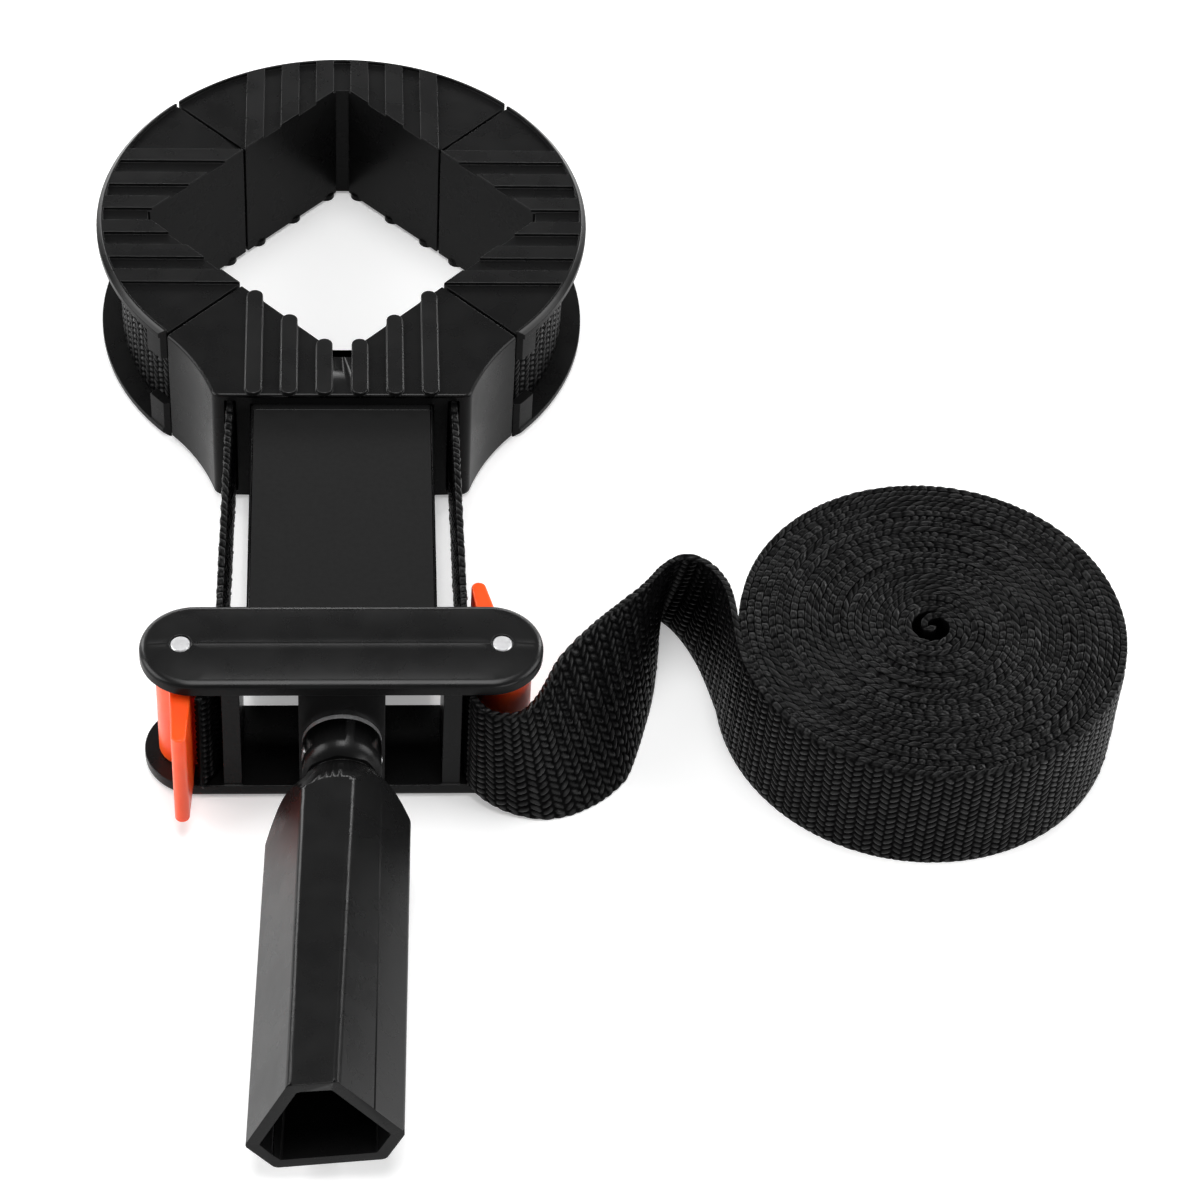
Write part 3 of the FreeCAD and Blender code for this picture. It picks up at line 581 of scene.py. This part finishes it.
# ---- loose strap --------------------------------------------------------------------------------
# Upper and lower edge of the free stretch from the yoke to the roll, in millimetres.
TAIL_EDGES = [
    ((24.0, -46.8, 28.5), (24.0, -46.8, 3.5)),
    ((26.3, -49.0, 27.4), (27.2, -49.3, 2.2)),
    ((29.8, -49.4, 26.5), (31.6, -51.2, 1.0)),
    ((33.2, -47.9, 25.8), (37.0, -52.2, 0.3)),
    ((35.9, -44.4, 25.4), (42.3, -51.3, 0.1)),
    ((38.0, -40.0, 25.2), (46.8, -49.0, 0.0)),
    ((40.4, -34.6, 25.0), (50.3, -46.2, 0.0)),
    ((44.0, -29.6, 25.0), (53.4, -42.3, 0.0)),
    ((48.3, -24.7, 25.0), (55.5, -36.5, 0.0)),
    ((52.2, -20.9, 25.0), (57.3, -30.2, 0.0)),
    ((56.2, -17.1, 25.0), (58.9, -23.9, 0.0)),
    ((58.6, -14.3, 25.0), (60.1, -17.0, 0.0)),
    ((60.9, -11.3, 25.0), (60.8, -9.5, 0.0)),
    ((63.4, -9.3, 25.0), (60.9, -3.0, 0.0)),
    ((66.2, -8.6, 25.0), (62.4, -2.2, 0.0)),
    ((69.2, -10.1, 25.0), (65.4, -5.6, 0.0)),
    ((71.6, -13.3, 25.0), (68.2, -11.0, 0.0)),
    ((73.2, -17.9, 25.0), (70.3, -17.2, 0.0)),
]
ROLL_CENTRE = (roll_low + roll_high) / 2
ROLL_R = (roll_high.x - roll_low.x) / 2
TURN = 1.33 * MM  # growth of the roll per turn
CORE_R = 4.3 * MM  # where the strap's inner end leaves the windings and crosses the hole
CURL_TURN = math.radians(190)
CURL_RATE = 0.95 * MM  # how fast it moves inwards there, per radian
curl_angle = (ROLL_R - CORE_R) / TURN * 2 * math.pi
last_angle = curl_angle + CURL_TURN
SPLINE_STEPS = 24
ROLL_LEAD = 12  # a station of the roll that steers the loose stretch's end
TAIL_STEP = STEP * 1.42
FULL_TURN = 2 * math.pi
CORE_ANGLE = 20 * math.pi  # where the roll's last part begins
ROLL_INSET = 0.1 * MM  # room for the weave within the roll's node
OUT_OF_ROUND = 0.015
WIDEST = math.radians(100)  # direction in which the roll bulges
UNEVEN = 0.12 * MM  # waves of the windings, two per turn
FOOT_SPREAD = 1.6 * MM  # how far the first winding's lower edge stands out
FOOT_FADE = 0.9  # radians over which that dies away
TOP_WAVE, TOP_RIPPLE = 0.07 * MM, 0.05 * MM  # unevenness of the roll's top
TOP_DROP = 0.25 * MM
TOP_INSET = 0.05 * MM


def spline(points, count):
    """A smooth line through the points (Catmull-Rom)."""
    points = np.array(points, float)
    padded = np.vstack([2 * points[0] - points[1], points, 2 * points[-1] - points[-2]])
    out = []
    for i in range(len(points) - 1):
        p0, p1, p2, p3 = padded[i : i + 4]
        for t in np.linspace(0, 1, count, endpoint=False):
            out.append(
                0.5
                * (
                    2 * p1
                    + (p2 - p0) * t
                    + (2 * p0 - 5 * p1 + 4 * p2 - p3) * t * t
                    + (3 * p1 - p0 - 3 * p2 + p3) * t**3
                )
            )
    out.append(points[-1])
    return np.array(out)


def roll_radius(angle):
    """Radius of the strap's middle after turning by angle, in radians, from where the roll begins."""
    wound = ROLL_R - STRAP_HALF - ROLL_INSET - TURN * angle / (2 * math.pi)
    out_of_round = 1 + OUT_OF_ROUND * (1 + np.cos(angle + math.pi - WIDEST))
    uneven = UNEVEN * np.sin(2 * angle + 0.8) * np.clip(angle, 0, 1)
    inwards = np.clip(angle - curl_angle, 0, CURL_TURN) * CURL_RATE
    return wound * out_of_round + uneven - inwards


def roll_stations(first, last, step):
    """Lower and upper edges of the wound strap between two turning angles."""
    angles = [first]
    while angles[-1] < last:
        angles.append(angles[-1] + step / max(float(roll_radius(angles[-1])), CORE_R / 2))
    angles = np.array(angles)
    radius = roll_radius(angles)
    heading = math.pi + angles
    spread = FOOT_SPREAD * np.exp(-angles / FOOT_FADE)
    height = TOP_WAVE * np.sin(angles * 0.37 + 1.0) + TOP_RIPPLE * np.sin(angles * 1.31)
    height = height * np.clip(angles, 0, 1) - TOP_DROP
    cos, sin = np.cos(heading), np.sin(heading)
    tops = np.column_stack(
        [ROLL_CENTRE.x + radius * cos, ROLL_CENTRE.y + radius * sin, roll_high.z + height - TOP_INSET]
    )
    bottoms = np.column_stack(
        [
            ROLL_CENTRE.x + (radius + spread) * cos,
            ROLL_CENTRE.y + (radius + spread) * sin,
            np.full_like(radius, roll_low.z + ROLL_INSET),
        ]
    )
    return bottoms, tops


roll_bottoms, roll_tops = roll_stations(0.0, FULL_TURN, STEP)
upper = [np.array(top) * MM for top, _ in TAIL_EDGES] + [roll_tops[0], roll_tops[ROLL_LEAD]]
lower = [np.array(bottom) * MM for _, bottom in TAIL_EDGES] + [roll_bottoms[0], roll_bottoms[ROLL_LEAD]]
tail_line = np.hstack([spline(lower, SPLINE_STEPS), spline(upper, SPLINE_STEPS)])[:-SPLINE_STEPS]
tail_line = resampled(tail_line, TAIL_STEP)
tail, phase = webbing("strap_tail_web", tail_line[:, :3], tail_line[:, 3:], 0.0, TAIL_COUNT)
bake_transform(tail)
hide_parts("strap_tail")

parts = ((0.0, FULL_TURN), (FULL_TURN, CORE_ANGLE), (CORE_ANGLE, last_angle))
for word, (first, last) in zip(("outer", "inner", "core"), parts):
    outermost = first == 0.0
    step = STEP if outermost else BEAD / 5
    bottoms, tops = roll_stations(first, last, step)
    half = STRAP_HALF if outermost else TURN / 2
    name = f"strap_{word}_turns"
    turned, phase_end = webbing(name, bottoms, tops, phase, ROLL_COUNT, outermost, False, half)
    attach(turned, "loose_strap")
    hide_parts("strap_roll")
    phase = phase_end


# ---- stage ----------------------------------------------------------------------------------------
def floor_material():
    made = Material("floor_white", (0.92, 0.92, 0.92), 0.9)
    made.tinted(made.noise(3.0, 2.0), (0.915, 0.915, 0.915), (0.925, 0.925, 0.925))
    made.shader.inputs["Specular IOR Level"].default_value = 0.1
    made.shader.inputs["Emission Color"].default_value = (1.0, 1.0, 1.0, 1.0)
    made.shader.inputs["Emission Strength"].default_value = 0.3
    return made.material


SIDE = 6.0  # half width of the floor
floor_mesh = bpy.data.meshes.new("floor")
floor_mesh.from_pydata(
    [(-SIDE, -SIDE, 0), (SIDE, -SIDE, 0), (SIDE, SIDE, 0), (-SIDE, SIDE, 0)], [], [(0, 1, 2, 3)]
)
floor = add_object("floor", floor_mesh, floor_material())
floor.location.z = -0.02 * MM  # a hair below the model's lowest point

world = bpy.data.worlds.new("studio")
world.use_nodes = True
world.node_tree.nodes["Background"].inputs["Color"].default_value = (1, 1, 1, 1)
world.node_tree.nodes["Background"].inputs["Strength"].default_value = 0.1
bpy.context.scene.world = world


def softbox(name, place, target, size, energy):
    data = bpy.data.lights.new(name, "AREA")
    data.shape = "RECTANGLE"
    data.size, data.size_y = size
    data.energy = energy
    lamp = bpy.data.objects.new(name, data)
    lamp.location = place
    lamp.rotation_euler = (Vector(target) - Vector(place)).to_track_quat("-Z", "Y").to_euler()
    bpy.context.scene.collection.objects.link(lamp)


CENTRE = (0.04, 0.0, 0.0)
softbox("softbox_left", (-1.25, -0.1, 0.62), CENTRE, (1.1, 0.9), 15)
softbox("softbox_right", (1.3, -0.05, 0.62), CENTRE, (1.0, 0.9), 12)
softbox("softbox_above", (0.03, 0.0, 1.5), CENTRE, (1.1, 0.6), 14)
softbox("strip_back", (0.0, 1.5, 0.42), CENTRE, (1.8, 0.25), 9)
softbox("fill_front", (0.7, -1.1, 0.25), CENTRE, (0.7, 0.4), 5)
softbox("strip_back_left", (-0.95, 1.0, 0.6), CENTRE, (0.3, 0.7), 6)
softbox("strip_back_right", (1.0, 1.0, 0.55), CENTRE, (0.3, 0.7), 6)

# ---- camera -----------------------------------------------------------------------------------------
CAMERA_AT = (0.00122, -0.4947, 0.5523)
YAW, PITCH, ROLL = 0.0992, 0.8351, -0.0727  # radians
PICTURE = 1200  # width of the picture in pixels
FOCAL_PX = 3775.75
SENSOR = 36.0  # millimetres
forward = Vector((math.sin(YAW) * math.cos(PITCH), math.cos(YAW) * math.cos(PITCH), -math.sin(PITCH)))
level = Vector((math.cos(YAW), -math.sin(YAW), 0.0))
down = forward.cross(level)
right = level * math.cos(ROLL) + down * math.sin(ROLL)
up = level * math.sin(ROLL) - down * math.cos(ROLL)
lens = bpy.data.cameras.new("camera")
lens.sensor_width = SENSOR
lens.lens = FOCAL_PX / PICTURE * SENSOR
lens.clip_start = 0.01
camera = bpy.data.objects.new("camera", lens)
bpy.context.scene.collection.objects.link(camera)
turn = Matrix((right, up, -forward)).transposed()
camera.matrix_world = Matrix.Translation(CAMERA_AT) @ turn.to_4x4()
bpy.context.scene.camera = camera
bpy.context.scene.view_settings.view_transform = "Standard"
